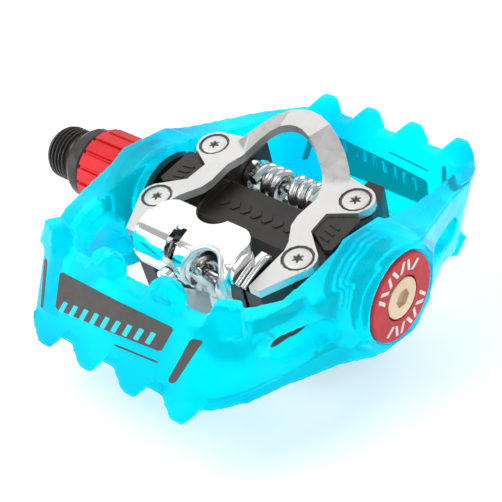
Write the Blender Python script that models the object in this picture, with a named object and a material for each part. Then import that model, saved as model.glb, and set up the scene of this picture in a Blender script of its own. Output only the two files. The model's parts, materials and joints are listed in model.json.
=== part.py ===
"""Clipless bicycle pedal with a translucent platform cage, right-hand side.

The row frame: origin on the spindle axis at the crank seat, +X outboard along the spindle,
+Y forward, +Z up. The cage is level. The body, with the cleat mechanisms on it, is tilted about
the spindle by REST_TILT, as the sprung cage leaves it when no shoe is on the pedal.
Outlines below are in millimetres in a side's own plane; MM turns them into metres.
"""

import math

import bmesh
import bpy
from mathutils import Matrix, Vector

MM = 0.001

# Driving dimensions, in millimetres.
REST_TILT = 16.0
CENTRE_X = 60.8
THREAD_R = 7.14
THREAD_PITCH = 1.27
THREAD_END_X = -9.7
CAGE_LEAN = 0.317
PLATE_TOP_Z = 12.66
PLATE_THICK = 2.1
PLATE_SCREWS = (21.35, 10.31)
PIVOT_Y = -14.6
PIVOT_Z = -1.9
PIN_R = 1.5
COIL_R = 3.2
WIRE_R = 1.2
BOLT_X = -3.2
BOLT_Z = 11.5
GAP = 0.3

ROUND_SEGMENTS = 28
SMALL_SEGMENTS = 12


# ---------------------------------------------------------------- materials

def material(name, colour, roughness, metallic=0.0, transmission=0.0):
    made = bpy.data.materials.get(name)
    if made:
        return made
    made = bpy.data.materials.new(name)
    made.use_nodes = True
    shader = made.node_tree.nodes["Principled BSDF"]
    shader.inputs["Base Color"].default_value = (*colour, 1.0)
    shader.inputs["Roughness"].default_value = roughness
    shader.inputs["Metallic"].default_value = metallic
    shader.inputs["Transmission Weight"].default_value = transmission
    return made


def black_steel():
    return material("black_steel", (0.045, 0.035, 0.033), 0.42, 0.6)


def black_body():
    return material("black_body", (0.050, 0.040, 0.038), 0.5)


def bright_chrome():
    return material("bright_chrome", (0.86, 0.87, 0.88), 0.08, 1.0)


def satin_nickel():
    return material("satin_nickel", (0.78, 0.77, 0.76), 0.28, 1.0)


def red_anodised():
    return material("red_anodised", (0.75, 0.02, 0.03), 0.35, 0.7)


def champagne():
    return material("champagne", (0.80, 0.64, 0.45), 0.3, 0.9)


def cyan_plastic():
    return material("cyan_plastic", (0.0, 0.75, 0.9), 0.3, 0.0, 0.6)


def seal_rubber():
    return material("seal_rubber", (0.02, 0.02, 0.02), 0.8)


def bronze():
    return material("bronze", (0.55, 0.36, 0.16), 0.4, 0.9)


# ---------------------------------------------------------------- making and cutting solids

def keep(name, mesh, finish, smooth_angle=30.0):
    """Closes, orients and links one solid whose points are in millimetres."""
    bmesh.ops.remove_doubles(mesh, verts=mesh.verts, dist=1e-4)
    bmesh.ops.dissolve_degenerate(mesh, edges=mesh.edges, dist=1e-4)
    bmesh.ops.connect_verts_nonplanar(mesh, angle_limit=math.radians(0.01), faces=mesh.faces)
    bmesh.ops.recalc_face_normals(mesh, faces=mesh.faces)
    if mesh.calc_volume(signed=True) < 0:
        bmesh.ops.reverse_faces(mesh, faces=mesh.faces)
    bmesh.ops.scale(mesh, vec=Vector((MM, MM, MM)), verts=mesh.verts)
    data = bpy.data.meshes.new(name)
    mesh.to_mesh(data)
    mesh.free()
    data.shade_smooth()
    data.set_sharp_from_angle(angle=math.radians(smooth_angle))
    made = bpy.data.objects.new(name, data)
    bpy.context.scene.collection.objects.link(made)
    if finish:
        data.materials.append(finish)
    return made


def ring_points(radius, count, phase=0.0):
    turns = [2 * math.pi * (k + phase) / count for k in range(count)]
    return [(radius * math.cos(turn), radius * math.sin(turn)) for turn in turns]


def bridge(mesh, first, second):
    count = len(first)
    for k in range(count):
        following = (k + 1) % count
        mesh.faces.new((first[k], first[following], second[following], second[k]))


def loft(name, sections, finish=None, hollow=False):
    """Joins equal-length loops of points in order; ends are capped, or meet when hollow."""
    mesh = bmesh.new()
    loops = [[mesh.verts.new(point) for point in section] for section in sections]
    for first, second in zip(loops, loops[1:]):
        bridge(mesh, first, second)
    if hollow:
        bridge(mesh, loops[-1], loops[0])
    else:
        mesh.faces.new(loops[0])
        mesh.faces.new(loops[-1])
    return keep(name, mesh, finish)


def turned(name, profile, finish=None, segments=ROUND_SEGMENTS, hollow=False):
    """A solid of revolution about X from (x, radius) pairs; hollow joins last to first."""
    sections = []
    for x, radius in profile:
        sections.append([(x, y, z) for y, z in ring_points(radius, segments)])
    return loft(name, sections, finish, hollow)


def turned_up(name, profile, finish=None, segments=SMALL_SEGMENTS):
    """The same about Z, from (z, radius) pairs."""
    sections = []
    for z, radius in profile:
        sections.append([(x, y, z) for x, y in ring_points(radius, segments)])
    return loft(name, sections, finish)


def prism(name, outline, low, high, axis="Z", finish=None):
    """Extrudes an outline along X (points are y, z), Y (points are x, z) or Z (points are x, y)."""
    place = {
        "X": lambda a, b, c: (c, a, b),
        "Y": lambda a, b, c: (a, c, b),
        "Z": lambda a, b, c: (a, b, c),
    }[axis]
    sections = [[place(a, b, level) for a, b in outline] for level in (low, high)]
    return loft(name, sections, finish)


def block(name, low, high, finish=None):
    outline = [(low[0], low[1]), (high[0], low[1]), (high[0], high[1]), (low[0], high[1])]
    return prism(name, outline, low[2], high[2], "Z", finish)


def moved(obj, x=0.0, y=0.0, z=0.0, turn_x=0.0, turn_y=0.0, turn_z=0.0):
    """Turns and shifts a solid's own points, in degrees and millimetres."""
    spin = Matrix.Rotation(math.radians(turn_z), 4, "Z")
    spin = spin @ Matrix.Rotation(math.radians(turn_y), 4, "Y")
    spin = spin @ Matrix.Rotation(math.radians(turn_x), 4, "X")
    obj.data.transform(Matrix.Translation(Vector((x, y, z)) * MM) @ spin)
    return obj


def combine(obj, others, operation):
    """Adds or cuts other solids, then makes the result the object's own mesh."""
    for other in others:
        change = obj.modifiers.new(operation.lower(), "BOOLEAN")
        change.operation = operation
        change.object = other
        change.solver = "EXACT"
        graph = bpy.context.evaluated_depsgraph_get()
        result = bpy.data.meshes.new_from_object(obj.evaluated_get(graph))
        obj.modifiers.clear()
        old = obj.data
        obj.data = result
        bpy.data.meshes.remove(old)
        bpy.data.objects.remove(other)
    tidy = bmesh.new()
    tidy.from_mesh(obj.data)
    bmesh.ops.remove_doubles(tidy, verts=tidy.verts, dist=2e-6)
    bmesh.ops.dissolve_degenerate(tidy, edges=tidy.edges, dist=2e-6)
    tidy.to_mesh(obj.data)
    tidy.free()
    obj.data.set_sharp_from_angle(angle=math.radians(30))
    return obj


def cut(obj, *others):
    return combine(obj, others, "DIFFERENCE")


def join(obj, *others):
    return combine(obj, others, "UNION")


def holder(name, x=0.0, y=0.0, z=0.0, turn_x=0.0, parent=None):
    """An empty on a joint's axis, in its parent's frame."""
    empty = bpy.data.objects.new(name, None)
    bpy.context.scene.collection.objects.link(empty)
    empty.location = Vector((x, y, z)) * MM
    empty.rotation_euler = (math.radians(turn_x), 0.0, 0.0)
    empty.parent = parent
    return empty


def hang(parent, *objects):
    for obj in objects:
        obj.parent = parent


def arc(centre, radius, start, end, steps):
    """Points on an arc, in degrees, from start to end."""
    angles = [math.radians(start + (end - start) * k / steps) for k in range(steps + 1)]
    return [(centre[0] + radius * math.cos(a), centre[1] + radius * math.sin(a)) for a in angles]


# ---------------------------------------------------------------- spindle and bearings

def thread_sections(x_low, x_high, root, crest, pitch):
    """Loops of a helical thread whose ends run out to the root radius."""
    samples = (root, crest, crest, root)
    step = pitch / len(samples)
    rows = math.ceil((x_high - x_low) / step) + len(samples) + 2
    sections = []
    for row in range(rows):
        loop = []
        for k in range(ROUND_SEGMENTS):
            turn = 2 * math.pi * k / ROUND_SEGMENTS
            x = x_low + (row - len(samples)) * step + pitch * k / ROUND_SEGMENTS
            x = min(max(x, x_low), x_high)
            runout = min(1.0, (x - x_low) / pitch, (x_high - x) / pitch)
            radius = root + (samples[row % len(samples)] - root) * runout
            loop.append((x, radius * math.cos(turn), radius * math.sin(turn)))
        sections.append(loop)
    return sections


def helical_shaft(name, before, thread, after, finish):
    """A turned shaft with a helical stretch: the helix rows step along one pitch per turn."""
    x_low, x_high, root, crest, pitch = thread
    samples = 4
    mesh = bmesh.new()

    def plain(profile):
        loops = []
        for x, radius in profile:
            loops.append([mesh.verts.new((x, y, z)) for y, z in ring_points(radius, ROUND_SEGMENTS)])
        return loops

    rows = [[mesh.verts.new(p) for p in s] for s in thread_sections(*thread)]
    front = plain(list(before) + [(x_low, root)])
    rear = plain([(x_high, root)] + list(after))
    for first, second in zip(front, front[1:]):
        bridge(mesh, first, second)
    for first, second in zip(rear, rear[1:]):
        bridge(mesh, first, second)
    for row in range(len(rows) - 1):
        for k in range(ROUND_SEGMENTS - 1):
            mesh.faces.new((rows[row][k], rows[row][k + 1], rows[row + 1][k + 1], rows[row + 1][k]))
    for row in range(len(rows) - 1 - samples):
        first, second = rows[row], rows[row + 1]
        onward, beyond = rows[row + samples], rows[row + 1 + samples]
        mesh.faces.new((first[-1], onward[0], beyond[0], second[-1]))
    mesh.faces.new(front[0])
    mesh.faces.new(rear[-1])
    return keep(name, mesh, finish)


def spindle():
    root = THREAD_R - 0.75
    before = [(THREAD_END_X, 6.0), (THREAD_END_X + 0.5, root)]
    thread = (THREAD_END_X + 0.5, -1.6, root, THREAD_R, THREAD_PITCH)
    after = [
        (-0.9, root), (0.0, root), (0.0, 8.1), (2.0, 9.3), (4.9, 9.3), (5.6, 8.6), (6.2, 8.6),
        (6.2, 6.0), (36.5, 6.0), (40.0, 4.9), (85.0, 4.9), (85.0, 4.0), (91.0, 4.0),
        (91.3, 3.4), (94.0, 3.4),
    ]
    shaft = helical_shaft("spindle", before, thread, after, black_steel())
    socket = prism("socket", ring_points(4.62, 6), THREAD_END_X - 1.0, -2.2, "X")
    return cut(shaft, socket)


def lock_ring():
    """Red notched nut whose sleeve carries the inboard bush and screws into the body."""
    outer = []
    notches = 16
    for k in range(notches):
        turn = 360.0 / notches
        start = k * turn
        outer += arc((0, 0), 10.6, start, start + turn - 6.0, 1)
        outer += arc((0, 0), 9.8, start + turn - 4.5, start + turn - 1.5, 1)
    flange = prism("lock_ring", outer, 6.9, 20.9, "X", red_anodised())
    sleeve = turned("sleeve", [(20.0, 8.7), (36.0, 8.7)])
    bore = turned("bore", [(6.0, 8.55), (9.4, 8.55), (9.4, 7.55), (37.0, 7.55)])
    return cut(join(flange, sleeve), bore)


def ring(name, x_low, x_high, inner, outer, finish, segments=ROUND_SEGMENTS):
    profile = [(x_low, inner), (x_low, outer), (x_high, outer), (x_high, inner)]
    return turned(name, profile, finish, segments, hollow=True)


def bearing_ball_set():
    """Balls and the thin retainer that spaces them, as one piece."""
    count = 8
    x_mid = 88.3
    orbit = 6.05
    carrier = ring("bearing_ball_set", x_mid - 0.4, x_mid + 0.4, 5.85, 6.25, bright_chrome(), 24)
    balls = []
    for y, z in ring_points(orbit, count):
        mesh = bmesh.new()
        bmesh.ops.create_icosphere(mesh, subdivisions=1, radius=0.74)
        ball = keep("ball", mesh, None)
        balls.append(moved(ball, x_mid, y, z))
    return join(carrier, *balls)


def spindle_nut():
    nut = prism("spindle_nut", ring_points(5.6, 6), 91.5, 94.2, "X", satin_nickel())
    return cut(nut, turned("hole", [(91.0, 3.6), (95.0, 3.6)]))


def outboard_sleeve():
    """Threaded into the body from outboard; holds the ball bearing and the end plug."""
    sleeve = turned(
        "outboard_sleeve",
        [(80.4, 8.7), (88.1, 8.7), (88.1, 9.7), (96.7, 9.7)],
        black_body(),
    )
    pocket = turned("pocket", [(80.0, 5.3), (85.4, 5.3), (85.4, 8.1), (97.5, 8.1)])
    return cut(sleeve, pocket)


def end_plug():
    plug = turned("end_plug", [(94.6, 7.6), (95.0, 7.95), (96.7, 7.95)], black_steel(), 32)
    return cut(plug, turned("hole", [(94.0, 2.7), (97.5, 2.7)], segments=SMALL_SEGMENTS))


def end_cap():
    cap = turned(
        "end_cap",
        [(97.1, 10.0), (97.5, 10.7), (99.9, 10.7), (100.3, 10.3)],
        red_anodised(),
        32,
    )
    seat = turned("seat", [(96.5, 2.7), (98.7, 2.7), (98.7, 5.35), (101.0, 5.35)])
    return cut(cap, seat)


def end_cap_screw():
    screw = turned(
        "end_cap_screw",
        [(94.9, 2.0), (95.3, 2.4), (98.95, 2.4), (98.95, 5.05), (100.2, 5.05), (100.4, 4.85)],
        champagne(),
        20,
    )
    return cut(screw, prism("socket", ring_points(2.31, 6), 99.2, 101.0, "X"))


# ---------------------------------------------------------------- body

def body():
    """One black casting: barrel, two end blocks with plate seats, pin arms and cleat pads."""
    screw_x, screw_y = PLATE_SCREWS
    side_top = PLATE_TOP_Z - PLATE_THICK - GAP
    barrel = turned("body", [(26.7 - CENTRE_X, 11.5), (-28.2, 11.5), (-28.2, 9.3), (24.0, 9.3),
                             (24.0, 10.4), (87.8 - CENTRE_X, 10.4)], black_body())
    cast = [barrel]
    for side in (-1, 1):
        cast.append(end_block(side_top, side))
    solid = join(*cast)
    pads = [cleat_pad(side, turn) for side in (-1, 1) for turn in (0, 180)]
    solid = join(solid, *pads)
    flats = [block("flat", (-13.9, -11, 7.0), (13.4, 11, 14.0)),
             block("flat", (-13.9, -11, -14.0), (13.4, 11, -7.0))]
    spin_bore = turned("bore", [(26.0 - CENTRE_X, 9.0), (36.4 - CENTRE_X, 9.0),
                                (36.4 - CENTRE_X, 6.5), (79.9 - CENTRE_X, 6.5),
                                (79.9 - CENTRE_X, 9.0), (90.0 - CENTRE_X, 9.0)])
    solid = cut(solid, spin_bore, *flats)
    holes = []
    for turn in (0, 180):
        pin_hole = turned("hole", [(-19.2, PIN_R + GAP), (19.2, PIN_R + GAP)], segments=SMALL_SEGMENTS)
        holes.append(moved(moved(pin_hole, 0, PIVOT_Y, PIVOT_Z), turn_x=turn))
        for x in (-screw_x, screw_x):
            for y in (-screw_y, screw_y):
                hole = turned_up("hole", [(3.6, 2.2), (14.0, 2.2)], segments=12)
                holes.append(moved(moved(hole, x, y), turn_x=turn))
    return cut(solid, *holes)


def end_block(top, side):
    """A block that seats the plates; its pin arms reach back above and forward below."""
    arm = [(15.4, -21.8), (20.0, -21.8), (25.0, -11.4), (25.0, 0.0), (15.4, 0.0)]
    core = [(15.2, -15.2), (24.2, -15.2), (25.9, -10.0), (25.9, 10.0), (24.2, 15.2), (15.2, 15.2)]
    upper = prism("block", [(side * x, y) for x, y in arm], -6.6, top - 0.05, "Z")
    lower = moved(prism("block", [(side * x, y) for x, y in arm], -6.6, top - 0.05, "Z"), turn_x=180)
    middle = prism("block", [(side * x, y) for x, y in core], -top, top, "Z")
    return join(middle, upper, lower)


def cleat_pad(side, turn):
    """The pad beside a rail that the shoe's sole rests on."""
    outline = [(18.9, -1.9), (24.4, -5.2), (25.9, -4.4), (25.9, 5.9), (24.6, 6.3), (18.9, 3.2)]
    outline = [(side * x, y) for x, y in outline]
    pad = prism("pad", outline, 6.0, 12.0, "Z")
    return moved(pad, turn_x=turn)


# ---------------------------------------------------------------- cleat plates

def plate(name):
    """The fixed plate: screwed pads, rails, rear arms and the raised front hoop, in one piece."""
    bottom = PLATE_TOP_Z - PLATE_THICK
    screw_x, screw_y = PLATE_SCREWS
    right = [(12.6, 14.8), (12.3, 9.6), (13.3, 6.0), (13.0, 0.0), (13.6, -3.0), (16.4, -7.4),
             (17.3, -10.0), (17.3, -22.0), (20.2, -22.0), (25.2, -12.2)]
    right += arc((screw_x, -screw_y), 4.4, -25, 60, 4)
    right += [(18.7, -2.4), (18.3, 3.6), (21.8, 5.6), (24.4, 7.0)]
    right += arc((screw_x, screw_y), 4.5, -10, 95, 5)
    right += [(17.8, 15.4), (15.6, 15.8)]
    left = [(-x, y) for x, y in reversed(right)]
    flat = prism(name, right, bottom, PLATE_TOP_Z, "Z", satin_nickel())
    flat = join(flat, prism("left", left, bottom, PLATE_TOP_Z, "Z"), hoop(bottom))
    seats = []
    for x in (-screw_x, screw_x):
        for y in (-screw_y, screw_y):
            seat = turned_up("seat", [(9.0, 2.2), (bottom + 0.7, 2.2), (bottom + 0.7, 3.85),
                                      (14.0, 3.85)], segments=14)
            seats.append(moved(seat, x, y))
    return cut(flat, *seats)


def hoop(bottom, rise=7.4, steps=14):
    """The arched strip over the cleat's nose, ramped up from the pads to a flat crown."""
    sections = []
    for k in range(steps + 1):
        share = k / steps
        turn = math.pi * share
        across = math.copysign(abs(math.cos(turn)) ** 1.25, math.cos(turn))
        along = math.sin(turn) ** 1.25 if 0 < k < steps else 0.0
        outer = (16.8 * across, 13.2 + 10.8 * along)
        inner = (12.2 * across, 9.2 + 8.8 * along)
        ramp = min(max((0.5 - abs(share - 0.5) - 0.03) / 0.40, 0.0), 1.0)
        lift = bottom + rise * ramp * ramp * (3 - 2 * ramp)
        corners = ((outer, 0.0), (outer, PLATE_THICK), (inner, PLATE_THICK), (inner, 0.0))
        sections.append([(x, y, lift + level) for (x, y), level in corners])
    return loft("hoop", sections)


def plate_screw(name, x, y):
    """Flat-headed screw with a six-sided socket."""
    head = PLATE_TOP_Z - 0.05
    screw = turned_up(name, [(4.2, 1.5), (4.6, 1.9), (PLATE_TOP_Z - 1.05, 1.9),
                             (PLATE_TOP_Z - 1.05, 3.35), (head - 0.15, 3.5), (head, 3.35)],
                      satin_nickel(), 14)
    socket = prism("socket", ring_points(1.5, 6), head - 0.9, head + 1.0, "Z")
    return moved(cut(screw, socket), x, y)


# ---------------------------------------------------------------- rear clamps

def clamp(name):
    """Sprung rear jaw: lipped top, rounded back with a bolt slot and an arched window, and
    two cheeks that ride on the pivot pin. Its own frame has the pin at the origin."""
    def local(points):
        return [(y - PIVOT_Y, z - PIVOT_Z) for y, z in points]

    outside = [(-12.6, 18.0), (-19.0, 18.0), (-22.8, 17.0), (-25.2, 14.6), (-26.1, 11.4),
               (-25.3, 8.0), (-22.6, 5.0)]
    inside = [(-23.0, 6.9), (-23.9, 8.8), (-24.5, 11.4), (-23.7, 13.7), (-21.9, 15.4),
              (-18.6, 16.3), (-12.6, 16.3)]
    shell = prism(name, local(outside + inside), -13.6, 13.6, "X", bright_chrome())
    cheek_side = [(-14.4, 17.0), (-19.2, 17.4), (-22.6, 16.4), (-24.6, 14.2), (-25.3, 11.2),
                  (-24.5, 8.2), (-21.8, 3.6), (-18.8, -3.6)]
    cheek_side += arc((PIVOT_Y, PIVOT_Z), 4.3, 215, 385, 8)
    cheek_side += [(-11.6, 6.0), (-12.4, 12.0)]
    cheeks = [prism("cheek", local(cheek_side), x, x + 1.5, "X") for x in (-14.9, 13.4)]
    solid = join(shell, *cheeks)
    notch = moved(turned_up("notch", [(10.0, 5.2), (30.0, 5.2)], segments=28), 0.0, 4.3)
    slot = block("slot", (BOLT_X - 1.6, -13.0, 14.2), (BOLT_X + 1.6, -4.4, 25.0))
    bolt_hole = prism("bolt_hole", ring_points(1.8, 12), -18.0, -7.0, "Y")
    cutters = [notch, slot, moved(bolt_hole, BOLT_X, 0.0, BOLT_Z), arched_window()]
    eye = turned("eye", [(-16.0, PIN_R + 0.2), (16.0, PIN_R + 0.2)], segments=SMALL_SEGMENTS)
    return cut(solid, *cutters, *lip_corners(), eye)


def lip_corners():
    """Cutters that round the two lobes of the lip."""
    corners = []
    for side in (-1, 1):
        outline = [(side * 15.5, -11.0), (side * 9.8, -11.0)]
        curve = arc((0, 0), 1.0, 90, 0, 6)
        outline += [(side * (8.6 + 5.4 * x), -17.6 + 5.2 * y) for x, y in curve]
        outline += [(side * 15.5, -17.6)]
        corner = prism("corner", [(x, y - PIVOT_Y) for x, y in outline], 15.0, 25.0, "Z")
        corners.append(corner)
    return corners


def arched_window():
    """Opening over the outboard half of the clamp's rounded back, open towards the bottom."""
    outline = [(7.3 + 6.0 * x, 1.2 - 10.6 * y) for x, y in arc((0, 0), 1.0, 0, 180, 14)]
    outline += [(1.3, 12.0), (13.3, 12.0)]
    return moved(prism("window", outline, 5.0, 26.0, "Y"), turn_x=135.0)


def pivot_pin(name):
    return turned(name, [(-18.8, 1.2), (-18.4, PIN_R), (18.4, PIN_R), (18.8, 1.2)],
                  bright_chrome(), SMALL_SEGMENTS)


def tube_along(name, route, radius, sides, finish):
    """A round wire through the route's points, capped at both ends."""
    sections = []
    up = None
    count = len(route)
    for k, point in enumerate(route):
        ahead = Vector(route[min(k + 1, count - 1)]) - Vector(route[max(k - 1, 0)])
        ahead.normalize()
        if up is None:
            up = ahead.orthogonal().normalized()
        up = (up - ahead * up.dot(ahead)).normalized()
        across = ahead.cross(up)
        loop = []
        for a, b in ring_points(radius, sides):
            loop.append(tuple(Vector(point) + up * a + across * b))
        sections.append(loop)
    return loft(name, sections, finish)


def coil(x_start, x_end, turns, radius, phase, sense, steps=10):
    """Points of a coil about X that starts at an angle and winds with or against it."""
    points = []
    total = int(turns * steps)
    for k in range(total + 1):
        angle = phase + sense * 2 * math.pi * turns * k / total
        x = x_start + (x_end - x_start) * k / total
        points.append((x, radius * math.cos(angle), radius * math.sin(angle)))
    return points


def clamp_spring(name):
    """Double torsion spring on the pivot pin: its middle loop bears up under the bolt's nut."""
    left = coil(-10.8, BOLT_X - 1.9, 2.25, COIL_R, math.pi * 5.5, -1)
    right = coil(BOLT_X + 1.9, 7.2, 3.25, COIL_R, math.pi, 1)
    loop = [(BOLT_X - 1.9, -3.5, 2.4), (BOLT_X - 1.9, -4.9, 5.6), (BOLT_X - 1.6, -5.3, 7.0),
            (BOLT_X - 0.6, -5.5, 7.8), (BOLT_X + 0.6, -5.5, 7.8), (BOLT_X + 1.6, -5.3, 7.0),
            (BOLT_X + 1.9, -4.9, 5.6), (BOLT_X + 1.9, -3.5, 2.4)]
    start = [(-10.8, 4.4, -COIL_R)]
    end = [(7.2, 4.4, -COIL_R)]
    return tube_along(name, start + left + loop + right + end, WIRE_R, 5, bright_chrome())


def tension_bolt(name):
    """Runs forward under the clamp's slot from its head at the back; its frame is its axis."""
    bolt = prism(name, ring_points(1.4, 12), -12.0, -2.5, "Y", bright_chrome())
    head = prism("head", ring_points(2.4, SMALL_SEGMENTS), -13.2, -11.7, "Y")
    return cut(join(bolt, head), prism("socket", ring_points(1.4, 6), -15.0, -12.2, "Y"))


def tension_nut(name):
    """Square nut that the spring pushes on; its rib shows the setting through the slot."""
    nut = block(name, (-2.3, -7.4, -2.1), (2.3, -4.4, 2.1), bright_chrome())
    rib = block("rib", (-1.1, -7.0, 1.8), (1.1, -5.8, 5.2))
    hole = prism("hole", ring_points(1.65, 12), -10.0, -3.0, "Y")
    return cut(join(nut, rib), hole)


# ---------------------------------------------------------------- cage

# Each point of the near rail's outline, outer then inner: x and y at mid height, how far the
# wall leans there (1 is CAGE_LEAN), and the heights of its upper and lower edges.
NEAR_OUTER = [
    (-39.2, -7.3, 0.0, 13.5, 13.5),
    (-37.2, -13.0, 0.0, 12.4, 12.4),
    (-35.6, -24.0, 0.3, 10.6, 10.6),
    (-32.6, -33.5, 0.6, 10.2, 9.8),
    (-30.2, -40.0, 1.0, 8.8, 8.8),
    (-26.5, -45.6, 1.0, 8.5, 8.5),
    (-22.5, -47.2, 1.0, 8.5, 8.5),
    (0.0, -47.6, 1.0, 8.5, 8.5),
    (22.5, -47.2, 1.0, 8.5, 8.5),
    (27.0, -44.5, 1.0, 9.0, 8.8),
    (30.3, -37.0, 0.8, 9.0, 9.6),
    (32.6, -27.0, 0.4, 7.4, 10.0),
    (36.2, -15.5, 0.0, 9.5, 10.5),
    (38.9, -8.0, 0.0, 11.75, 11.75),
]
NEAR_INNER = [
    (-29.2, -8.0), (-29.0, -14.0), (-28.6, -23.0), (-26.6, -32.0), (-25.0, -37.5),
    (-22.5, -41.3), (-19.5, -42.8), (0.0, -43.2), (19.5, -42.8), (23.0, -40.6),
    (25.6, -35.0), (27.0, -26.0), (27.5, -16.0), (27.5, -8.0),
]


def cage_ring():
    """The closed rail: outer and inner walls, leaning where the end plates lean."""
    loops = {"out_top": [], "out_low": [], "in_low": [], "in_top": []}
    near = list(zip(NEAR_OUTER, NEAR_INNER))
    halves = [(1, near), (-1, near[::-1])]
    for side, points in halves:
        for (x, y, lean, top, low), (x_in, y_in) in points:
            if side < 0:
                top, low = low, top
            slope = lean * CAGE_LEAN
            loops["out_top"].append((x, side * y + slope * top, top))
            loops["out_low"].append((x, side * y - slope * low, -low))
            loops["in_low"].append((x_in, side * y_in - slope * low, -low))
            loops["in_top"].append((x_in, side * y_in + slope * top, top))
    sections = [loops["out_top"], loops["out_low"], loops["in_low"], loops["in_top"]]
    return loft("cage", sections, cyan_plastic(), hollow=True)


def near_wall(x):
    """Where the near outer wall is at this x, and which way it runs, in radians."""
    for first, second in zip(NEAR_OUTER, NEAR_OUTER[1:]):
        if first[0] <= x <= second[0]:
            share = (x - first[0]) / (second[0] - first[0])
            run = math.atan2(second[1] - first[1], second[0] - first[0])
            return first[1] + share * (second[1] - first[1]), run
    raise ValueError("x is off the near wall")


def tooth(x, base_half, tip_half, root_z, tip_z, depth):
    """A grip tooth on the near wall; negative heights make one that points down."""
    y, run = near_wall(x)
    sections = []
    for z, half, thick in ((root_z, base_half, depth), ((root_z + tip_z) * 0.5, base_half * 0.8, depth),
                           (tip_z * 0.97, tip_half, depth * 0.72), (tip_z, tip_half * 0.8, depth * 0.6)):
        proud = 0.12 if abs(z) < abs(tip_z) else -0.35
        section = []
        for along, inward in ((-half, -proud), (half, -proud), (half * 0.9, thick), (-half * 0.9, thick)):
            px = x + along * math.cos(run) - inward * math.sin(run)
            py = y + along * math.sin(run) + inward * math.cos(run)
            section.append((px, py + CAGE_LEAN * z, z))
        sections.append(section)
    return loft("tooth", sections)


def hub_outline(scale):
    points = [(-6.2, 13.4), (6.2, 13.4), (13.0, 7.0), (13.8, 0.0), (13.0, -7.0),
              (6.2, -13.4), (-6.2, -13.4), (-13.0, -7.0), (-13.8, 0.0), (-13.0, 7.0)]
    return [(y * scale, z * scale) for y, z in points]


def cage():
    """One moulded ring with faceted hubs, toothed end plates and slotted arms."""
    ring_body = cage_ring()
    sections = []
    for x, scale in ((27.6, 1.0), (33.5, 1.0), (39.25, 0.89)):
        sections.append([(x, y, z) for y, z in hub_outline(scale)])
    outboard_hub = loft("hub", sections)
    flats = [(-7.2, 13.8), (7.2, 13.8), (14.6, 5.4), (14.6, -5.4),
             (7.2, -13.8), (-7.2, -13.8), (-14.6, -5.4), (-14.6, 5.4)]
    inboard_hub = prism("hub", flats, -39.1, -29.3, "X")
    solids = [outboard_hub, inboard_hub]
    for turn in (0, 180):
        for x in (-20.8, -7.2, 6.4, 20.4):
            solids.append(moved(tooth(x, 5.4, 2.0, -6.4, -12.6, 4.6), turn_x=turn))
        for x in (-25.6, -7.2, 10.4, 26.2):
            solids.append(moved(tooth(x, 4.6, 2.9, 7.0, 13.0, 5.4), turn_x=turn))
    solid = join(ring_body, *solids)
    bores = [
        turned("bore", [(21.0 - CENTRE_X, 9.05), (26.3 - CENTRE_X, 9.05),
                        (26.3 - CENTRE_X, 11.9), (33.0 - CENTRE_X, 11.9)], segments=32),
        turned("bore", [(86.0 - CENTRE_X, 11.4), (94.0 - CENTRE_X, 11.4), (94.0 - CENTRE_X, 10.0),
                        (96.8 - CENTRE_X, 10.0), (96.8 - CENTRE_X, 11.0),
                        (102.0 - CENTRE_X, 11.0)], segments=32),
    ]
    slots = []
    for turn in (0, 180):
        outline = arc((-30.5, 0.0), 3.0, 90, 270, 6) + arc((-20.0, 0.0), 3.0, -90, 90, 6)
        slots.append(moved(prism("slot", outline, 20.0, 45.0, "X"), turn_x=turn))
        outline = arc((-27.0, 0.0), 2.8, 90, 270, 6) + arc((-19.6, 0.0), 2.8, -90, 90, 6)
        slots.append(moved(prism("slot", outline, -45.0, -20.0, "X"), turn_x=turn))
    return cut(solid, *bores, *slots)


def cage_spring():
    """Torsion coil in the outboard hub that lifts the cage to its rest tilt."""
    wind = coil(88.95, 93.35, 3.0, 10.55, 0.0, 1, steps=14)
    return tube_along("cage_return_spring", wind, 0.5, 4, bright_chrome())


# ---------------------------------------------------------------- assembly

def cleat_side(label, mechanism, turn):
    """Everything on one face of the body, made once and turned over for the other."""
    side = holder(label + "_side", turn_x=turn, parent=mechanism)
    hang(side, plate(label + "_plate"))
    screw_x, screw_y = PLATE_SCREWS
    places = {"outboard_front": (1, 1), "inboard_front": (-1, 1),
              "outboard_rear": (1, -1), "inboard_rear": (-1, -1)}
    for place, (x_sign, y_sign) in places.items():
        screw = plate_screw(label + "_screw_" + place, x_sign * screw_x, y_sign * screw_y)
        hang(side, screw)
    pivot = holder(label + "_pivot", 0.0, PIVOT_Y, PIVOT_Z, parent=side)
    hang(pivot, clamp(label + "_clamp"), pivot_pin(label + "_pivot_pin"))
    hang(pivot, clamp_spring(label + "_clamp_spring"))
    bolt_axis = holder(label + "_bolt_axis", BOLT_X, 0.0, BOLT_Z, parent=pivot)
    hang(bolt_axis, tension_bolt(label + "_tension_bolt"), tension_nut(label + "_tension_nut"))


def main():
    for obj in list(bpy.data.objects):
        bpy.data.objects.remove(obj, do_unlink=True)
    spindle()
    lock_ring()
    ring("inboard_seal", 7.0, 9.1, 6.15, 8.4, seal_rubber())
    ring("inboard_bush", 12.0, 34.0, 6.12, 7.4, bronze())
    ring("bearing_inner_ring", 85.8, 90.8, 4.15, 5.2, bright_chrome(), 24)
    ring("bearing_outer_ring", 85.8, 90.8, 6.9, 7.95, bright_chrome(), 24)
    bearing_ball_set()
    spindle_nut()
    outboard_sleeve()
    end_plug()
    end_cap()
    end_cap_screw()
    cage_spring()
    middle = holder("cage_axis", CENTRE_X)
    hang(middle, cage())
    mechanism = holder("body_axis", CENTRE_X, turn_x=REST_TILT)
    hang(mechanism, body())
    cleat_side("top", mechanism, 0.0)
    cleat_side("bottom", mechanism, 180.0)
    bpy.context.view_layer.update()


main()
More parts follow.
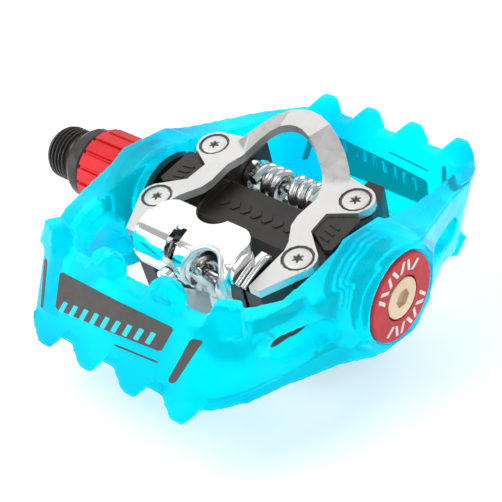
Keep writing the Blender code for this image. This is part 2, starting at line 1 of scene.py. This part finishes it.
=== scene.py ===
"""Looks of the clipless pedal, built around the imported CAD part.

Helpers that take a mesh work in millimetres; piece() turns it into metres.
"""

import json
import math

import bmesh
import bpy
from mathutils import Matrix, Vector

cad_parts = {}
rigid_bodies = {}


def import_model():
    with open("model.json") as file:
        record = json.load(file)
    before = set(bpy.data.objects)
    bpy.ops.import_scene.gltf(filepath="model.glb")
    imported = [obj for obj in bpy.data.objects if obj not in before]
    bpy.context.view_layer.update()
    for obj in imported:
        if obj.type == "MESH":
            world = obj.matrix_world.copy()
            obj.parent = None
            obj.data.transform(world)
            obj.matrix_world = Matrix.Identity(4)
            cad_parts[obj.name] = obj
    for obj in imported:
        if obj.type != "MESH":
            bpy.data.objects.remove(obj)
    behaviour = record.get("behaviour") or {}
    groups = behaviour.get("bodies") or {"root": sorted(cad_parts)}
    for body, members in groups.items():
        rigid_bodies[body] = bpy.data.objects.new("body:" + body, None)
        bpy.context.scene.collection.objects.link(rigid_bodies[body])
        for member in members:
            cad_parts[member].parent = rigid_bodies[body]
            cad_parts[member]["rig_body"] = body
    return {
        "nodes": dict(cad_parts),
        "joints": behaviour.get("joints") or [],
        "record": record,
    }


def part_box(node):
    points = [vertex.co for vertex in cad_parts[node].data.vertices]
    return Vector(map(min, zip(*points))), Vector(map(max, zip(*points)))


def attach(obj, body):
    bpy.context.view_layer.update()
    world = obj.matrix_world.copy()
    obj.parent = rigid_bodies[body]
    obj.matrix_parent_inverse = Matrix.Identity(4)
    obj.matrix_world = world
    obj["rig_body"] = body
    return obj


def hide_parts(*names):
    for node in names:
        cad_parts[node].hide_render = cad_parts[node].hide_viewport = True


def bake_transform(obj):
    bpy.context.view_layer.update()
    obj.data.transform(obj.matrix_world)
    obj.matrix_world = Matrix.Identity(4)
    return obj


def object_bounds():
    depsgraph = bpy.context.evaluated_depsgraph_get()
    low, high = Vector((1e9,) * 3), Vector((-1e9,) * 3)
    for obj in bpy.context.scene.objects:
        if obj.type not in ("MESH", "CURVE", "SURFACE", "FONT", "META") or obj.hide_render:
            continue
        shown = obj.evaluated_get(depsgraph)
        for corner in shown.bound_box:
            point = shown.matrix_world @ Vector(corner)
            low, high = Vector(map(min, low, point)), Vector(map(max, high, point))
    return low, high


MM = 0.001
SIDES = ("top", "bottom")
# Sizes in millimetres, in a side's own plane.
PLATE_TOP = 12.61
SCREW_X = 21.35
SCREW_Y = 10.31
WIRE_RADIUS = 1.2
COIL_RADIUS = 3.2
BOLT_X = -3.2
WALL_LEAN = 0.317
SPRING_INBOARD_X = -10.8
SPRING_OUTBOARD_X = 7.2
SPRING_LEG_Y = 4.4
WINDOW_X = 7.3
PAD_TOP = 11.95
BARREL_TOP = 6.95
PRINT_LIFT = 0.13
PRINT_ROOT = -0.15

# The clamp's rounded back, as (y, z) from its pivot pin.
PIVOT = (-14.6, -1.9)
CLAMP_BACK = [(y - PIVOT[0], z - PIVOT[1]) for y, z in
              ((-12.6, 18.0), (-19.0, 18.0), (-22.8, 17.0), (-25.2, 14.6), (-26.1, 11.4), (-25.3, 8.0),
               (-22.6, 5.0))]

# The outer face of an end wall at mid height, as (x, y) from the cage's centre.
WALL_LINE = ((-30.2, -40.0), (-26.5, -45.6), (-22.5, -47.2), (0.0, -47.6), (22.5, -47.2), (27.0, -44.5))

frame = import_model()
cad_low, cad_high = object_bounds()

joints = {joint["name"]: joint for joint in frame["joints"]}
axis_point = Vector(joints["cage_tilt"]["pos_m"])
bolt_direction = Vector(joints["top_tension_turn"]["axis"])
REST_TILT = math.atan2(bolt_direction.z, bolt_direction.y)

CAGE_FRAME = Matrix.Translation(axis_point)
SIDE_FRAMES = {
    "top": CAGE_FRAME @ Matrix.Rotation(REST_TILT, 4, "X"),
    "bottom": CAGE_FRAME @ Matrix.Rotation(REST_TILT + math.pi, 4, "X"),
}


# ---------------------------------------------------------------- material helpers

class Paint:
    """A new node material with its Principled shader at hand."""

    def __init__(self, name, colour, roughness, metallic=0.0):
        self.material = bpy.data.materials.new(name)
        self.material.use_nodes = True
        self.tree = self.material.node_tree
        self.shader = self.tree.nodes["Principled BSDF"]
        self.shader.inputs["Base Color"].default_value = (*colour, 1.0)
        self.shader.inputs["Roughness"].default_value = roughness
        self.shader.inputs["Metallic"].default_value = metallic
        self.material.diffuse_color = (*colour, 1.0)

    def node(self, kind, **values):
        made = self.tree.nodes.new(kind)
        for key, value in values.items():
            setattr(made, key, value)
        return made

    def link(self, source, target):
        self.tree.links.new(source, target)

    def place(self, scale=(1.0, 1.0, 1.0)):
        """Object coordinates, stretched."""
        coordinates = self.node("ShaderNodeTexCoord")
        mapping = self.node("ShaderNodeMapping")
        mapping.inputs["Scale"].default_value = scale
        self.link(coordinates.outputs["Object"], mapping.inputs["Vector"])
        return mapping.outputs["Vector"]

    def noise(self, scale, detail=3.0, stretch=(1.0, 1.0, 1.0)):
        noise = self.node("ShaderNodeTexNoise")
        noise.inputs["Scale"].default_value = scale
        noise.inputs["Detail"].default_value = detail
        self.link(self.place(stretch), noise.inputs["Vector"])
        return noise.outputs["Fac"]

    def ramp(self, fac, low, high, start=0.3, end=0.7):
        """Blends two colours by a value."""
        ramp = self.node("ShaderNodeValToRGB")
        ramp.color_ramp.elements[0].position = start
        ramp.color_ramp.elements[1].position = end
        ramp.color_ramp.elements[0].color = (*low, 1.0)
        ramp.color_ramp.elements[1].color = (*high, 1.0)
        self.link(fac, ramp.inputs["Fac"])
        return ramp.outputs["Color"]

    def colour_from(self, fac, low, high, start=0.3, end=0.7):
        self.link(self.ramp(fac, low, high, start, end), self.shader.inputs["Base Color"])

    def roughness_from(self, fac, low, high):
        spread = self.node("ShaderNodeMapRange")
        spread.inputs["From Min"].default_value = 0.3
        spread.inputs["From Max"].default_value = 0.7
        spread.inputs["To Min"].default_value = low
        spread.inputs["To Max"].default_value = high
        self.link(fac, spread.inputs["Value"])
        self.link(spread.outputs["Result"], self.shader.inputs["Roughness"])

    def bump_from(self, height, strength, distance):
        bump = self.node("ShaderNodeBump")
        bump.inputs["Strength"].default_value = strength
        bump.inputs["Distance"].default_value = distance
        self.link(height, bump.inputs["Height"])
        self.link(bump.outputs["Normal"], self.shader.inputs["Normal"])


def frosted_cyan_painted_glow():
    """Translucent moulded plastic: light goes through it and comes out tinted and soft, and a faint cyan
    emission adds a painted glow on top.
    """
    paint = Paint("frosted_cyan_painted_glow", (0.0, 0.78, 0.90), 0.34)
    paint.colour_from(paint.noise(30.0, 1.0), (0.0, 0.48, 0.84), (0.0, 0.82, 0.97), 0.38, 0.60)
    paint.shader.inputs["Specular IOR Level"].default_value = 0.30
    paint.shader.inputs["Specular Tint"].default_value = (0.0, 0.85, 1.0, 1.0)
    paint.roughness_from(paint.noise(160.0, 2.0), 0.18, 0.26)
    paint.bump_from(paint.noise(2600.0, 2.0), 0.04, 0.0002)
    paint.shader.inputs["IOR"].default_value = 1.20
    paint.shader.inputs["Transmission Weight"].default_value = 0.75
    # Painted glow: a weak cyan emission makes the plastic shine a little by itself, in place of light
    # scattered inside it.
    paint.shader.inputs["Emission Color"].default_value = (0.0, 0.85, 1.0, 1.0)
    paint.shader.inputs["Emission Strength"].default_value = 0.14
    return paint.material


def cast_black(name, colour, roughness):
    """Warm black anodised metal with a fine blasted grain."""
    paint = Paint(name, colour, roughness)
    lighter = tuple(min(1.0, part * 1.5) for part in colour)
    paint.colour_from(paint.noise(120.0, 4.0), colour, lighter)
    paint.roughness_from(paint.noise(300.0, 3.0), roughness - 0.06, roughness + 0.10)
    paint.bump_from(paint.noise(3200.0, 3.0), 0.16, 0.0002)
    return paint.material


def polished_chrome():
    paint = Paint("polished_chrome", (0.90, 0.90, 0.89), 0.08, 1.0)
    paint.colour_from(paint.noise(60.0, 2.0), (0.86, 0.86, 0.86), (0.94, 0.94, 0.93))
    paint.roughness_from(paint.noise(220.0, 4.0), 0.05, 0.13)
    paint.bump_from(paint.noise(900.0, 3.0), 0.03, 0.0002)
    return paint.material


def spring_steel():
    """Bright drawn wire, softer than the chrome so that its turns read apart."""
    paint = Paint("spring_steel", (0.74, 0.73, 0.72), 0.24, 1.0)
    paint.colour_from(paint.noise(200.0, 3.0), (0.66, 0.65, 0.64), (0.80, 0.79, 0.78))
    paint.roughness_from(paint.noise(500.0, 3.0), 0.20, 0.30)
    paint.bump_from(paint.noise(2400.0, 3.0), 0.04, 0.0001)
    return paint.material


def satin_nickel():
    """Light tumbled nickel plate, almost white, with a faint grain."""
    paint = Paint("satin_nickel", (0.72, 0.71, 0.69), 0.34, 0.75)
    paint.colour_from(paint.noise(90.0, 4.0), (0.69, 0.68, 0.66), (0.75, 0.74, 0.72))
    paint.roughness_from(paint.noise(500.0, 3.0), 0.26, 0.40)
    paint.bump_from(paint.noise(2800.0, 3.0, (1.0, 0.25, 1.0)), 0.09, 0.0002)
    return paint.material


def anodised(name, colour, roughness, metallic):
    """Turned and anodised aluminium: fine rings around the spindle axis."""
    paint = Paint(name, colour, roughness, metallic)
    deeper = tuple(part * 0.8 for part in colour)
    paint.colour_from(paint.noise(140.0, 3.0), deeper, colour)
    spot = paint.place((0.0, 1.0, 1.0))
    length = paint.node("ShaderNodeVectorMath", operation="LENGTH")
    paint.link(spot, length.inputs[0])
    rings = paint.node("ShaderNodeMath", operation="MULTIPLY")
    rings.inputs[1].default_value = 30000.0
    paint.link(length.outputs["Value"], rings.inputs[0])
    wave = paint.node("ShaderNodeMath", operation="SINE")
    paint.link(rings.outputs["Value"], wave.inputs[0])
    paint.bump_from(wave.outputs["Value"], 0.05, 0.0001)
    paint.roughness_from(paint.noise(400.0, 3.0), roughness - 0.05, roughness + 0.08)
    return paint.material


def printed(name, colour):
    """Pad-printed ink with a slightly uneven surface."""
    paint = Paint(name, colour, 0.5)
    darker = tuple(part * 0.85 for part in colour)
    paint.colour_from(paint.noise(400.0, 3.0), darker, colour)
    paint.roughness_from(paint.noise(900.0, 2.0), 0.44, 0.56)
    paint.bump_from(paint.noise(4000.0, 2.0), 0.05, 0.0001)
    return paint.material


def black_rubber():
    paint = Paint("black_rubber", (0.018, 0.018, 0.018), 0.7)
    paint.colour_from(paint.noise(300.0, 3.0), (0.014, 0.014, 0.014), (0.03, 0.03, 0.03))
    paint.bump_from(paint.noise(2500.0, 3.0), 0.2, 0.0002)
    return paint.material


def sintered_bronze():
    paint = Paint("sintered_bronze", (0.50, 0.31, 0.13), 0.4, 1.0)
    paint.colour_from(paint.noise(1200.0, 3.0), (0.40, 0.24, 0.10), (0.58, 0.38, 0.17))
    paint.bump_from(paint.noise(3500.0, 3.0), 0.2, 0.0001)
    return paint.material


def pale_floor():
    paint = Paint("pale_floor", (0.93, 0.93, 0.93), 0.6)
    paint.shader.inputs["Emission Color"].default_value = (1.0, 1.0, 1.0, 1.0)
    paint.shader.inputs["Emission Strength"].default_value = 0.30
    paint.colour_from(paint.noise(3.0, 2.0), (0.92, 0.92, 0.92), (0.94, 0.94, 0.94))
    return paint.material


MATERIALS = {
    "cyan_plastic": frosted_cyan_painted_glow(),
    "black_steel": cast_black("dark_steel", (0.020, 0.015, 0.014), 0.26),
    "black_body": cast_black("black_casting", (0.017, 0.012, 0.011), 0.40),
    "bright_chrome": polished_chrome(),
    "satin_nickel": satin_nickel(),
    "spring_steel": spring_steel(),
    "red_anodised": anodised("red_anodised", (0.86, 0.006, 0.016), 0.30, 0.25),
    "cap_red": anodised("cap_red", (0.60, 0.003, 0.016), 0.42, 0.10),
    "champagne": anodised("champagne", (0.84, 0.66, 0.46), 0.30, 0.6),
    # This dark ink is also used for the painted shade in the screw sockets and in the gaps round the screw
    # heads.
    "ink": printed("decal_ink_and_painted_shade", (0.075, 0.066, 0.064)),
    "mark": printed("decal_mark", (0.0, 0.80, 0.92)),
    "white_ink": printed("white_ink", (0.86, 0.80, 0.80)),
    "seal_rubber": black_rubber(),
    "bronze": sintered_bronze(),
}


# ---------------------------------------------------------------- mesh helpers

def piece(name, mesh, place, body, slot, finish=None, smooth=40.0):
    """Turns a bmesh in millimetres into a shown piece that rides on a CAD body, if one is named."""
    bmesh.ops.recalc_face_normals(mesh, faces=mesh.faces)
    mesh.transform(place @ Matrix.Scale(MM, 4))
    data = bpy.data.meshes.new(name)
    mesh.to_mesh(data)
    mesh.free()
    data.materials.append(MATERIALS[finish or slot])
    data.shade_smooth()
    data.set_sharp_from_angle(angle=math.radians(smooth))
    obj = bpy.data.objects.new(name, data)
    bpy.context.scene.collection.objects.link(obj)
    if body:
        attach(obj, body)
    return obj


def add_loops(mesh, loops, capped=True):
    """Skins a stack of loops that have the same number of points."""
    rows = [[mesh.verts.new(point) for point in loop] for loop in loops]
    count = len(rows[0])
    for lower, upper in zip(rows, rows[1:]):
        for k in range(count):
            after = (k + 1) % count
            mesh.faces.new((lower[k], lower[after], upper[after], upper[k]))
    if capped:
        mesh.faces.new(rows[0][::-1])
        mesh.faces.new(rows[-1])
    return mesh


def circle(radius, count, height):
    return [(radius * math.cos(2 * math.pi * k / count), radius * math.sin(2 * math.pi * k / count), height)
            for k in range(count)]


def wire(points, radius, sides=16):
    """A round bar through the points."""
    mesh = bmesh.new()
    rows = []
    up = None
    for k, point in enumerate(points):
        ahead = points[min(k + 1, len(points) - 1)] - points[max(k - 1, 0)]
        ahead.normalize()
        if up is None:
            up = ahead.orthogonal().normalized()
        up = (up - ahead * up.dot(ahead)).normalized()
        across = ahead.cross(up)
        loop = []
        for side in range(sides):
            angle = 2 * math.pi * side / sides
            loop.append(point + (up * math.cos(angle) + across * math.sin(angle)) * radius)
        rows.append(loop)
    return add_loops(mesh, rows)


def smoothed(points, steps=4):
    """Catmull-Rom points through a list of vectors."""
    ends = [points[0] * 2 - points[1], *points, points[-1] * 2 - points[-2]]
    result = []
    for a, b, c, d in zip(ends, ends[1:], ends[2:], ends[3:]):
        for k in range(steps):
            t = k / steps
            result.append(0.5 * (2 * b + (c - a) * t + (2 * a - 5 * b + 4 * c - d) * t * t
                                 + (3 * b - a - 3 * c + d) * t ** 3))
    result.append(points[-1])
    return result


def slab(mesh, outline, place, thickness):
    """A thin plate with a flat outline; place turns (x, y, height) into a point."""
    lower = [place(x, y, 0.0) for x, y in outline]
    upper = [place(x, y, thickness) for x, y in outline]
    return add_loops(mesh, [lower, upper])


def rounded(outline, radius, steps=4):
    """The outline with each corner cut to an arc-like curve."""
    result = []
    count = len(outline)
    for k in range(count):
        corner = Vector(outline[k])
        before = Vector(outline[k - 1]) - corner
        after = Vector(outline[(k + 1) % count]) - corner
        reach = min(radius, before.length * 0.45, after.length * 0.45)
        start = corner + before.normalized() * reach
        end = corner + after.normalized() * reach
        for step in range(steps + 1):
            t = step / steps
            spot = start * (1 - t) ** 2 + corner * 2 * t * (1 - t) + end * t * t
            result.append((spot.x, spot.y))
    return result


def refined(node, slot, width=0.25, segments=2, finish=None, angle=32.0):
    """Stands for a CAD node: the same shape with its hard edges rounded."""
    mesh = bmesh.new()
    mesh.from_mesh(frame["nodes"][node].data)
    bmesh.ops.remove_doubles(mesh, verts=mesh.verts, dist=2e-6)
    bmesh.ops.dissolve_limit(mesh, angle_limit=math.radians(1.5), verts=mesh.verts, edges=mesh.edges)
    data = bpy.data.meshes.new(node + "_finished")
    mesh.to_mesh(data)
    mesh.free()
    obj = bpy.data.objects.new(node + "_finished", data)
    bpy.context.scene.collection.objects.link(obj)
    bevel = obj.modifiers.new("edges", "BEVEL")
    bevel.width = width * MM
    bevel.segments = segments
    bevel.limit_method = "ANGLE"
    bevel.angle_limit = math.radians(angle)
    bevel.harden_normals = True
    bevel.use_clamp_overlap = True
    data.materials.clear()
    data.materials.append(MATERIALS[finish or slot])
    data.shade_smooth()
    data.set_sharp_from_angle(angle=math.radians(angle))
    body = frame["nodes"][node]["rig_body"]
    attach(obj, body)
    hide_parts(node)
    return obj


def baked(obj):
    """Applies the object's modifiers to its mesh."""
    graph = bpy.context.evaluated_depsgraph_get()
    data = bpy.data.meshes.new_from_object(obj.evaluated_get(graph))
    obj.modifiers.clear()
    obj.data = data
    return obj


def moulded(node, slot, voxel, smoothing, finish=None):
    """Stands for a CAD node: the same shape remeshed, with its edges melted round."""
    mesh = bmesh.new()
    mesh.from_mesh(frame["nodes"][node].data)
    bmesh.ops.remove_doubles(mesh, verts=mesh.verts, dist=2e-6)
    data = bpy.data.meshes.new(node + "_moulded")
    mesh.to_mesh(data)
    mesh.free()
    obj = bpy.data.objects.new(node + "_moulded", data)
    bpy.context.scene.collection.objects.link(obj)
    remesh = obj.modifiers.new("remesh", "REMESH")
    remesh.mode = "VOXEL"
    remesh.voxel_size = voxel * MM
    remesh.use_smooth_shade = True
    smooth = obj.modifiers.new("melt", "SMOOTH")
    smooth.factor = 0.5
    smooth.iterations = smoothing
    baked(obj)
    obj.data.materials.clear()
    obj.data.materials.append(MATERIALS[finish or slot])
    obj.data.shade_smooth()
    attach(obj, frame["nodes"][node]["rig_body"])
    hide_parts(node)
    return obj


# ---------------------------------------------------------------- cleat mechanism

def star_screw(side, place_name, x, y):
    """Flat-headed screw with a six-lobed socket, and dark pieces that stand for painted shade in its socket
    and in the gap round it.
    """
    mesh = bmesh.new()
    count = 72
    lobes = []
    for height, scale in ((PLATE_TOP, 1.0), (PLATE_TOP - 0.12, 0.94), (PLATE_TOP - 1.3, 0.92)):
        loop = []
        for k in range(count):
            angle = 2 * math.pi * k / count
            reach = scale * (1.12 + 0.34 * math.cos(6 * angle))
            loop.append((reach * math.cos(angle), reach * math.sin(angle), height))
        lobes.append(loop)
    rim = [circle(3.00, count, PLATE_TOP - 1.0), circle(3.12, count, PLATE_TOP - 0.20),
           circle(3.05, count, PLATE_TOP - 0.05), circle(2.95, count, PLATE_TOP)]
    add_loops(mesh, rim + lobes)
    offset = Matrix.Translation((x * MM, y * MM, 0.0))
    node = f"{side}_screw_{place_name}"
    obj = piece(node + "_star", mesh, SIDE_FRAMES[side] @ offset, "body", "satin_nickel")
    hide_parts(node)
    # Painted shade: a dark plug down in the socket and a dark ring in the gap round the head, both in the
    # dark ink, stand in for the shadow there.
    shade = bmesh.new()
    add_loops(shade, [circle(1.75, 36, PLATE_TOP - 1.5), circle(1.75, 36, PLATE_TOP - 0.55)])
    add_loops(shade, [circle(2.9, 72, PLATE_TOP - 0.5), circle(3.48, 72, PLATE_TOP - 0.5),
                      circle(3.48, 72, PLATE_TOP - 0.16), circle(2.9, 72, PLATE_TOP - 0.16)], False)
    piece(node + "_shade", shade, SIDE_FRAMES[side] @ offset, "body", "satin_nickel", "ink")


def clamp_spring(side):
    """Double torsion spring on the pivot pin, with a middle loop between its two coils; the wire is baked
    in place and rides on no body.
    """
    def coil(start, end, turns, phase, sense):
        steps = int(turns * 28)
        points = []
        for k in range(steps + 1):
            angle = phase + sense * 2 * math.pi * turns * k / steps
            x = start + (end - start) * k / steps
            points.append(Vector((x, COIL_RADIUS * math.cos(angle), COIL_RADIUS * math.sin(angle))))
        return points

    left = coil(SPRING_INBOARD_X, BOLT_X - 1.9, 2.25, math.pi * 5.5, -1)
    right = coil(BOLT_X + 1.9, SPRING_OUTBOARD_X, 3.25, math.pi, 1)
    bend = [(-1.9, -3.5, 2.4), (-1.9, -4.9, 5.6), (-1.6, -5.3, 7.0), (-0.6, -5.5, 7.8),
            (0.6, -5.5, 7.8), (1.6, -5.3, 7.0), (1.9, -4.9, 5.6), (1.9, -3.5, 2.4)]
    loop = smoothed([Vector((BOLT_X + x, y, z)) for x, y, z in bend])
    first = Vector((SPRING_INBOARD_X, SPRING_LEG_Y, -COIL_RADIUS))
    last = Vector((SPRING_OUTBOARD_X, SPRING_LEG_Y, -COIL_RADIUS))
    route = [first, *left, *loop, *right, last]
    pivot = Vector(joints[f"{side}_clamp_pivot"]["pos_m"])
    turn = SIDE_FRAMES[side].to_3x3().to_4x4()
    place = Matrix.Translation(pivot) @ turn
    mesh = wire(route, WIRE_RADIUS)
    obj = piece(f"{side}_spring_wire", mesh, place, None, "bright_chrome", "spring_steel", 60.0)
    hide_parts(f"{side}_clamp_spring")
    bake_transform(obj)



def shell_point(x, across):
    """Where the clamp's rounded back is met by the slanting line that its window is cut along."""
    slant = math.sqrt(0.5)
    start_y = -across * slant
    start_z = -across * slant
    for (y_low, z_low), (y_high, z_high) in zip(CLAMP_BACK, CLAMP_BACK[1:]):
        run_y = y_high - y_low
        run_z = z_high - z_low
        bottom = run_y + run_z
        if abs(bottom) < 1e-9:
            continue
        share = (start_y + start_z - y_low - z_low) / bottom
        if 0.0 <= share <= 1.0:
            return Vector((x, y_low + run_y * share, z_low + run_z * share))
    return None


def window_rim(side):
    """The bright folded lip round the clamp's arched window."""
    route = []
    for k in range(33):
        turn = math.radians(-14.0 + 208.0 * k / 32)
        x = WINDOW_X + 6.3 * math.copysign(abs(math.cos(turn)) ** 0.9, math.cos(turn))
        point = shell_point(x, 1.2 - 10.9 * math.sin(turn))
        if point is not None:
            route.append(point)
    pivot = Vector(joints[f"{side}_clamp_pivot"]["pos_m"])
    place = Matrix.Translation(pivot) @ SIDE_FRAMES[side].to_3x3().to_4x4()
    mesh = wire(route, 0.62, 12)
    piece(f"{side}_window_rim", mesh, place, f"{side}_clamp", "bright_chrome", "satin_nickel", 60.0)


def spring_leg(side):
    """The spring's outboard leg, which lies between the clamp's cheek and the plate's arm."""
    route = [Vector((15.75, -22.3, 11.6)), Vector((15.75, -19.0, 12.6)), Vector((15.75, -16.0, 13.2)),
             Vector((15.6, -14.2, 13.0)), Vector((15.4, -13.0, 12.0))]
    mesh = wire(smoothed(route), 0.75, 14)
    piece(f"{side}_spring_leg", mesh, SIDE_FRAMES[side], "body", "bright_chrome", "spring_steel", 60.0)


def pad_marks(side):
    """Three plain raised bars on each pad."""
    for end in (-1, 1):
        mesh = bmesh.new()
        for k in range(3):
            low = -2.3 + 1.9 * k
            outline = [(end * 20.6, low), (end * 23.6, low - 0.6),
                       (end * 23.6, low + 0.2), (end * 20.6, low + 0.8)]
            slab(mesh, rounded(outline, 0.25), lambda x, y, lift: Vector((x, y, PAD_TOP + lift)), 0.30)
        label = "outboard" if end > 0 else "inboard"
        piece(f"{side}_{label}_pad_marks", mesh, SIDE_FRAMES[side], "body", "black_body")


def barrel_marks(side):
    """A row of plain raised chevrons along the barrel between the clamps."""
    mesh = bmesh.new()
    for k in range(7):
        middle = -10.2 + 3.3 * k
        outline = [(middle - 1.0, -1.4), (middle + 0.1, -1.4), (middle + 1.1, 0.1), (middle + 0.1, 1.6),
                   (middle - 1.0, 1.6), (middle, 0.1)]
        slab(mesh, outline, lambda x, y, lift: Vector((x, y, BARREL_TOP + lift)), 0.35)
    piece(f"{side}_barrel_marks", mesh, SIDE_FRAMES[side], "body", "black_body")


def mechanism(side):
    refined(f"{side}_plate", "satin_nickel", 0.35, 3)
    refined(f"{side}_clamp", "bright_chrome", 0.30, 3)
    refined(f"{side}_pivot_pin", "bright_chrome", 0.15)
    refined(f"{side}_tension_bolt", "bright_chrome", 0.15)
    refined(f"{side}_tension_nut", "bright_chrome", 0.15)
    places = {"outboard_front": (1, 1), "inboard_front": (-1, 1),
              "outboard_rear": (1, -1), "inboard_rear": (-1, -1)}
    for place_name, (x_sign, y_sign) in places.items():
        star_screw(side, place_name, x_sign * SCREW_X, y_sign * SCREW_Y)
    clamp_spring(side)
    window_rim(side)
    spring_leg(side)
    pad_marks(side)
    barrel_marks(side)


# ---------------------------------------------------------------- markings

def wall_point(turned_over):
    """Maps (x, height above mid wall, lift) to a point on an end plate's outer face."""
    sign = -1.0 if turned_over else 1.0

    def place(x, height, lift):
        for (x_low, y_low), (x_high, y_high) in zip(WALL_LINE, WALL_LINE[1:]):
            if x_low <= x <= x_high:
                wall = y_low + (y_high - y_low) * (x - x_low) / (x_high - x_low)
                break
        y = wall + WALL_LEAN * height - lift
        return Vector((x, y * sign, height * sign))
    return place


def draped(mesh, upper, lower, place, proud, columns=24, corner=0.6):
    """A thin print that follows a bent wall, between two straight edges with rounded ends."""
    loops = []
    for k in range(columns + 1):
        share = k / columns
        high = Vector(upper[0]).lerp(Vector(upper[1]), share)
        low = Vector(lower[0]).lerp(Vector(lower[1]), share)
        length = (Vector(upper[1]) - Vector(upper[0])).length
        near_end = min(share, 1.0 - share) * length
        inset = 0.8 * corner * (1.0 - min(near_end / corner, 1.0)) ** 2
        trim = min(inset / max((high - low).length, 0.01), 0.45)
        top = high.lerp(low, trim)
        base = low.lerp(high, trim)
        loops.append([place(*base, PRINT_ROOT), place(*base, proud),
                      place(*top, proud), place(*top, PRINT_ROOT)])
    return add_loops(mesh, loops)


def wall_print(label, turned_over):
    """Dark blocks on an end plate with a row of slanted plain strokes."""
    place = wall_point(turned_over)
    dark = bmesh.new()
    draped(dark, ((-18.7, 5.3), (15.9, 5.9)), ((-18.5, -3.0), (13.6, 0.1)), place, PRINT_LIFT, 40)
    draped(dark, ((20.7, 5.7), (16.7, -4.9)), ((23.5, 6.0), (18.6, -4.7)), place, 0.26)
    draped(dark, ((-25.4, 5.6), (-23.7, -5.1)), ((-23.7, 5.4), (-22.7, -4.6)), place, PRINT_LIFT)
    draped(dark, ((0.7, -3.3), (13.3, -2.2)), ((0.7, -3.6), (13.3, -2.5)), place, PRINT_LIFT)
    piece(label + "_print", dark, CAGE_FRAME, "cage", "cyan_plastic", "ink", 30.0)
    light = bmesh.new()
    for k in range(9):
        left = -17.4 + 3.3 * k
        base = -3.2 + 0.44 * k
        draped(light, ((left + 1.3, base + 2.8), (left + 2.7, base + 2.85)),
               ((left, base), (left + 1.4, base + 0.05)), place, 0.17, 8, 0.18)
    piece(label + "_strokes", light, CAGE_FRAME, "cage", "cyan_plastic", "mark", 30.0)


def cap_print():
    """Plain white ticks in two arcs round the red end cap."""
    face_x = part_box("end_cap")[1].x / MM
    mesh = bmesh.new()
    for middle in (112.0, 292.0):
        for k in range(7):
            angle = math.radians(middle + (k - 3) * 17.0)
            lean = math.radians(4.0 if k % 2 else -4.0)
            points = []
            for reach, half in ((6.6, 0.45), (9.3, 0.45), (9.3, -0.45), (6.6, -0.45)):
                turn = angle + lean * (reach - 7.9) / 1.5
                points.append((reach * math.cos(turn) - half * math.sin(turn),
                               reach * math.sin(turn) + half * math.cos(turn)))
            slab(mesh, rounded(points, 0.2), lambda y, z, lift: Vector((face_x - 0.2 + lift, y, z)), 0.27)
    piece("cap_ticks", mesh, Matrix.Identity(4), "body", "red_anodised", "white_ink", 30.0)


for side_name in SIDES:
    mechanism(side_name)
wall_print("near_wall", False)
wall_print("far_wall", True)
cap_print()

moulded("cage", "cyan_plastic", 0.5, 8)
refined("body", "black_body", 0.35, 3)
refined("lock_ring", "red_anodised", 0.3, 2)
refined("end_cap", "red_anodised", 0.2, 2, "cap_red")
refined("end_cap_screw", "champagne", 0.2, 2)
refined("spindle", "black_steel", 0.12, 2)
refined("outboard_sleeve", "black_body", 0.2)
refined("end_plug", "black_steel", 0.15)
for node_name, obj in frame["nodes"].items():
    if not obj.hide_render:
        slot_name = next(row["material_slot"] for row in frame["record"]["subparts"]
                         if row["node"] == node_name)
        obj.data.materials.clear()
        obj.data.materials.append(MATERIALS[slot_name])


# ---------------------------------------------------------------- stage

def stage():
    floor = bmesh.new()
    bmesh.ops.create_grid(floor, x_segments=4, y_segments=4, size=3.0)
    data = bpy.data.meshes.new("floor")
    floor.to_mesh(data)
    floor.free()
    data.materials.append(pale_floor())
    obj = bpy.data.objects.new("floor", data)
    obj.location = (0.0, 0.0, cad_low.z - 0.0005)
    bpy.context.scene.collection.objects.link(obj)


def soft_light(name, position, size, power, aim=(0.06, 0.0, 0.0)):
    data = bpy.data.lights.new(name, "AREA")
    data.shape = "SQUARE"
    data.size = size
    data.energy = power
    obj = bpy.data.objects.new(name, data)
    obj.location = position
    direction = Vector(aim) - Vector(position)
    obj.rotation_euler = direction.to_track_quat("-Z", "Y").to_euler()
    bpy.context.scene.collection.objects.link(obj)


def world_light():
    world = bpy.data.worlds.new("studio")
    world.use_nodes = True
    background = world.node_tree.nodes["Background"]
    background.inputs["Color"].default_value = (0.97, 0.98, 1.0, 1.0)
    background.inputs["Strength"].default_value = 0.48
    bpy.context.scene.world = world


def camera():
    data = bpy.data.cameras.new("camera")
    data.lens = 87.6
    data.sensor_width = 36.0
    data.clip_start = 0.01
    data.clip_end = 20.0
    obj = bpy.data.objects.new("camera", data)
    right = Vector((0.746, 0.665, -0.0195)).normalized()
    forward = Vector((-0.574, 0.628, -0.526)).normalized()
    up = right.cross(forward).normalized()
    right = forward.cross(up).normalized()
    turn = Matrix((right, up, -forward)).transposed().to_4x4()
    obj.matrix_world = Matrix.Translation((0.2232, -0.1824, 0.1473)) @ turn
    bpy.context.scene.collection.objects.link(obj)
    bpy.context.scene.camera = obj


stage()
world_light()
soft_light("key", (-0.20, -0.45, 0.70), 0.40, 1.9)
soft_light("fill", (0.75, -0.20, 0.45), 0.50, 1.4)
soft_light("back", (0.10, 0.75, 0.45), 0.40, 1.8)
soft_light("overhead", (-0.58, 0.08, 0.82), 1.30, 3.6)
soft_light("low_front", (-0.48, -0.62, 0.20), 0.45, 1.2)
camera()
bpy.context.scene.view_settings.view_transform = "Standard"
